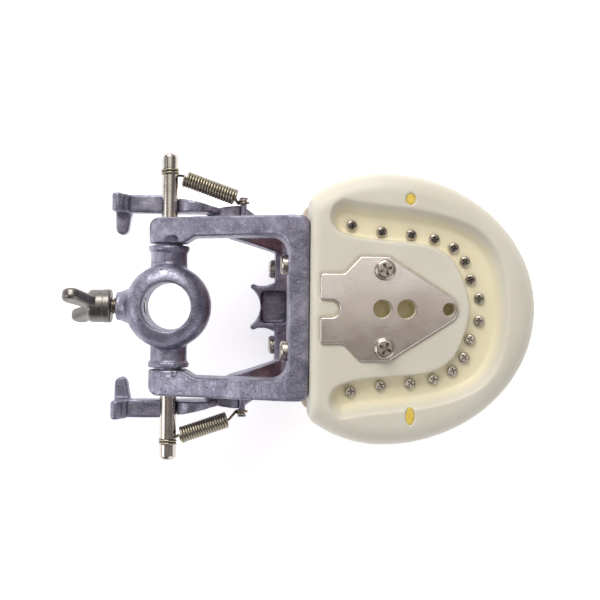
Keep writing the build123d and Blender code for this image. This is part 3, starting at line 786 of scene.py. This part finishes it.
for jaw in ("upper", "lower"):
    cast_copy(jaw + "_jaw_base", jaw + "_jaw", jaw + "_base", 0.42 * MM, 6, 0.04 * MM)
cast_copy("upper_frame", "upper_jaw", "casting", 0.34 * MM, 22, 0.07 * MM)
cast_copy("lower_frame", "lower_jaw", "casting", 0.34 * MM, 10, 0.07 * MM)
cast_copy("clamp_ring", "rod_clamp", "casting", 0.30 * MM, 16, 0.06 * MM)
cast_copy("wing_screw_head", "clamp_screw", "wing", 0.20 * MM, 8, 0.03 * MM)


# =================================================================== clamping screw thread
PITCH = 0.8 * MM                        # of an M5 thread
THREAD_DEPTH = 0.45 * MM
THREAD_SIDES = 40                       # points round the shank
THREAD_SLICE = 0.08 * MM                # and the length between two rings of them
FLANK = 1.15                            # over 1 leaves the crests flat
TIP_LENGTH = 0.7 * MM                   # chamfer at the tip
TIP_DROP = 0.55 * MM


def build_thread(node, body):
    """Threaded shank along X with a chamfered tip, in the place of the plain CAD shank."""
    low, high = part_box(node)
    radius = (high.z - low.z) / 2
    count = int((high.x - low.x) / THREAD_SLICE)
    verts = []
    for i in range(count + 1):
        x = lerp(low.x, high.x, i / count)
        lead = min(1.0, (high.x - x) / TIP_LENGTH)
        for k in range(THREAD_SIDES):
            turn = k / THREAD_SIDES
            phase = (x / PITCH - turn) % 1.0
            cut = abs(phase - 0.5) * 2
            r = radius - THREAD_DEPTH * (1 - min(1.0, cut * FLANK)) - (1 - lead) * TIP_DROP
            angle = 2 * math.pi * turn
            verts.append((x, r * math.cos(angle), r * math.sin(angle)))
    faces = grid_faces(count + 1, THREAD_SIDES, True)
    faces.append(tuple(range(THREAD_SIDES)))
    last = count * THREAD_SIDES
    faces.append(tuple(range(last, last + THREAD_SIDES)))
    obj = add_piece("clamp_thread", verts, faces, body, "screw")
    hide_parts(node)


build_thread("wing_screw_shank", "clamp_screw")


# =================================================================== springs
WIRE = 0.42 * MM                        # wire radius
WIRE_SIDES = 10
COIL = 2.06 * MM                        # coil radius to the wire's middle
COIL_TURNS = 19
COIL_STEPS = 16                         # points in one turn
GROOVE_Y = 40.2 * MM                    # groove round the pin, from the middle of the model
GROOVE_R = 1.9 * MM
GRIP_TURNS = 2.15                       # turns of wire round the groove
GRIP_STEPS = 60
GRIP_SPREAD = 1.9 * MM                  # and their width along the pin
STUD_Y = 31.85 * MM                     # middle of the eye on the stud
STUD_R = 1.03 * MM                      # the stud's radius and a hair of play
EYE_TURNS = 1.3
EYE_STEPS = 24
EYE_SPREAD = 0.9 * MM
LEAD_PULL = 3.0 * MM                    # how far the wire keeps its direction where it leaves
COIL_PULL = 2.4 * MM
LEAD_STEPS = 10
# ends of each coil's middle line in mm, beside the pin and beside the stud; the two springs
# don't hang quite alike
COIL_ENDS = {
    "left": ((4.6, 38.3, -0.2), (19.6, 32.9, 0.3)),
    "right": ((3.9, -38.4, -0.2), (17.6, -33.7, 0.3)),
}


def bridge(p0, t0, p1, t1):
    """Hermite run between two points with given directions, without its ends."""
    points = []
    for i in range(1, LEAD_STEPS):
        t = i / LEAD_STEPS
        points.append(p0 * (2 * t ** 3 - 3 * t * t + 1) + t0 * (t ** 3 - 2 * t * t + t)
                      + p1 * (3 * t * t - 2 * t ** 3) + t1 * (t ** 3 - t * t))
    return points


def loop(centre, radius, first, turns, steps, spread):
    """Turns round a line along Y: first is the starting angle, spread the drift along Y."""
    points = []
    for i in range(steps + 1):
        turn = first + i / steps * 2 * turns * math.pi
        drift = (i / steps - 0.5) * spread
        points.append(centre + Vector((radius * math.cos(turn), drift, radius * math.sin(turn))))
    return points


def coil_run(start, end):
    """The close-wound coil from start to end, a little wider at its start."""
    way = end - start
    ahead = way.normalized()
    up = (Vector((0, 0, 1)) - ahead * ahead.z).normalized()
    side = ahead.cross(up)
    points = []
    count = COIL_TURNS * COIL_STEPS
    for i in range(count + 1):
        turn = 2 * math.pi * i / COIL_STEPS
        share = i / count
        swell = 1.0 + 0.06 * math.exp(-(share / 0.06) ** 2)
        radial = up * math.cos(turn) + side * math.sin(turn)
        points.append(start + way * share + radial * COIL * swell)
    return points


def heading(a, b):
    """Unit vector from a to b."""
    return (b - a).normalized()


def build_spring(side, start, end):
    """Close-wound coil with two turns round the pin's groove and an eye on the stud."""
    sign = 1 if side == "left" else -1
    pin_low, pin_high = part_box(side + "_hinge_pin")
    stud_low, stud_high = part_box("spring_studs")
    groove = Vector(((pin_low.x + pin_high.x) / 2, sign * GROOVE_Y, 0))
    stud = Vector(((stud_low.x + stud_high.x) / 2, sign * STUD_Y,
                   (stud_low.z + stud_high.z) / 2))
    grip = loop(groove, GROOVE_R + WIRE, -0.5 * math.pi, GRIP_TURNS, GRIP_STEPS,
                -GRIP_SPREAD * sign)
    coil = coil_run(start, end)
    eye = loop(stud, STUD_R + WIRE, 0.95 * math.pi, -EYE_TURNS, EYE_STEPS, EYE_SPREAD * sign)
    line = grip + bridge(grip[-1], heading(grip[-2], grip[-1]) * LEAD_PULL,
                         coil[0], heading(coil[0], coil[1]) * COIL_PULL) + coil
    line += bridge(coil[-1], heading(coil[-2], coil[-1]) * COIL_PULL,
                   eye[0], heading(eye[0], eye[1]) * COIL_PULL) + eye
    verts, faces = tube(line, WIRE, WIRE_SIDES)
    obj = add_piece(side + "_coil_spring", verts, faces, None, "spring")
    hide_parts(side + "_spring")
    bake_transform(obj)


for side in ("left", "right"):
    build_spring(side, *(Vector(place) * MM for place in COIL_ENDS[side]))


# =================================================================== carried-over nodes
for jaw in ("upper", "lower"):
    paint(jaw + "_tooth_screws", "screw")
    paint(jaw + "_mounting_plate", "plate")
    paint(jaw + "_plate_screws", "screw")
    paint(jaw + "_locating_plugs", "plug")
    paint(jaw + "_frame_screws", "screw")
for node in ("left_hinge_pin", "right_hinge_pin"):
    paint(node, "pin")
for node in ("hinge_washers", "spring_studs"):
    paint(node, "casting")


# =================================================================== stage, light, camera
FLOOR_GAP = 0.3 * MM                    # keeps the floor off the base's own bottom face
FLOOR_HALF = 2.5                        # metres from the middle to an edge


def build_floor():
    """Square pale floor just under the lower base."""
    mesh = bpy.data.meshes.new("floor")
    z = LOWER_LOW.z - FLOOR_GAP
    far = FLOOR_HALF
    mesh.from_pydata([(-far, -far, z), (far, -far, z), (far, far, z), (-far, far, z)],
                     [], [(0, 1, 2, 3)])
    mesh.materials.append(floor_paper("floor_paper"))
    floor = bpy.data.objects.new("floor", mesh)
    bpy.context.scene.collection.objects.link(floor)


LIGHT = 0.33                            # share of the stated powers that is used


def build_light(name, place, aim, size, power, tint):
    """Soft rectangular lamp at a place, turned towards aim."""
    data = bpy.data.lights.new(name, "AREA")
    data.shape = "RECTANGLE"
    data.size, data.size_y = size
    data.energy = power * LIGHT
    data.color = tint
    light = bpy.data.objects.new(name, data)
    light.location = place
    light.rotation_euler = (Vector(aim) - Vector(place)).to_track_quat("-Z", "Y").to_euler()
    bpy.context.scene.collection.objects.link(light)


PATCH_AT = (0.0, 0.45, 0.89)            # direction of the bright patch of sky


def build_world():
    """Sky that is pale at the horizon and dim above it, with one bright patch overhead."""
    world = bpy.data.worlds.new("studio")
    bpy.context.scene.world = world
    world.use_nodes = True
    tree = world.node_tree
    back = tree.nodes["Background"]
    coords = tree.nodes.new("ShaderNodeTexCoord").outputs["Generated"]
    split = tree.nodes.new("ShaderNodeSeparateXYZ")
    tree.links.new(coords, split.inputs[0])
    sky = colour_ramp(tree, split.outputs["Z"], [
        (0.0, (0.92, 0.92, 0.94)), (0.12, (0.88, 0.88, 0.90)), (0.24, (0.17, 0.17, 0.19)),
        (1.0, (0.15, 0.15, 0.17))])
    toward = tree.nodes.new("ShaderNodeVectorMath")
    toward.operation = "DOT_PRODUCT"
    toward.inputs[1].default_value = Vector(PATCH_AT).normalized()
    tree.links.new(coords, toward.inputs[0])
    patch = colour_ramp(tree, toward.outputs["Value"], [
        (0.0, (0.10, 0.10, 0.12)), (0.55, (0.15, 0.15, 0.17)), (0.84, (0.24, 0.205, 0.185)),
        (0.885, (0.66, 0.61, 0.57)), (0.915, (1.0, 0.98, 0.96))])
    mix = tree.nodes.new("ShaderNodeMix")
    mix.data_type = "RGBA"
    mix.blend_type = "LIGHTEN"
    mix.inputs["Factor"].default_value = 1.0
    tree.links.new(sky, mix.inputs[6])
    tree.links.new(patch, mix.inputs[7])
    tree.links.new(mix.outputs[2], back.inputs["Color"])
    back.inputs["Strength"].default_value = 1.0


SENSOR = 36.0                           # mm
LENS = 59.44                            # mm
CAMERA_AT = (24.245 * MM, 1.962 * MM, 297.7 * MM)
CAMERA_TURN = (0.0007, -0.0503, 0.0095)    # radians; all zero looks straight down


def build_camera():
    """Camera nearly straight above the model."""
    data = bpy.data.cameras.new("camera")
    data.sensor_width = SENSOR
    data.lens = LENS
    data.clip_start, data.clip_end = 0.01, 10.0
    camera = bpy.data.objects.new("camera", data)
    camera.location = CAMERA_AT
    camera.rotation_euler = CAMERA_TURN
    bpy.context.scene.collection.objects.link(camera)
    bpy.context.scene.camera = camera


build_floor()
build_world()
build_light("key", (-0.12, 0.55, 0.45), (0.03, 0.0, 0.0), (0.5, 0.4), 10.5, (1.0, 0.985, 0.96))
build_light("fill", (0.45, -0.50, 0.40), (0.03, 0.0, 0.0), (0.6, 0.5), 3.5, (0.95, 0.96, 1.0))
build_light("rim", (-0.55, -0.10, 0.35), (0.0, 0.0, 0.0), (0.4, 0.3), 3.0, (1.0, 1.0, 1.0))
build_camera()
bpy.context.scene.view_settings.view_transform = "Standard"
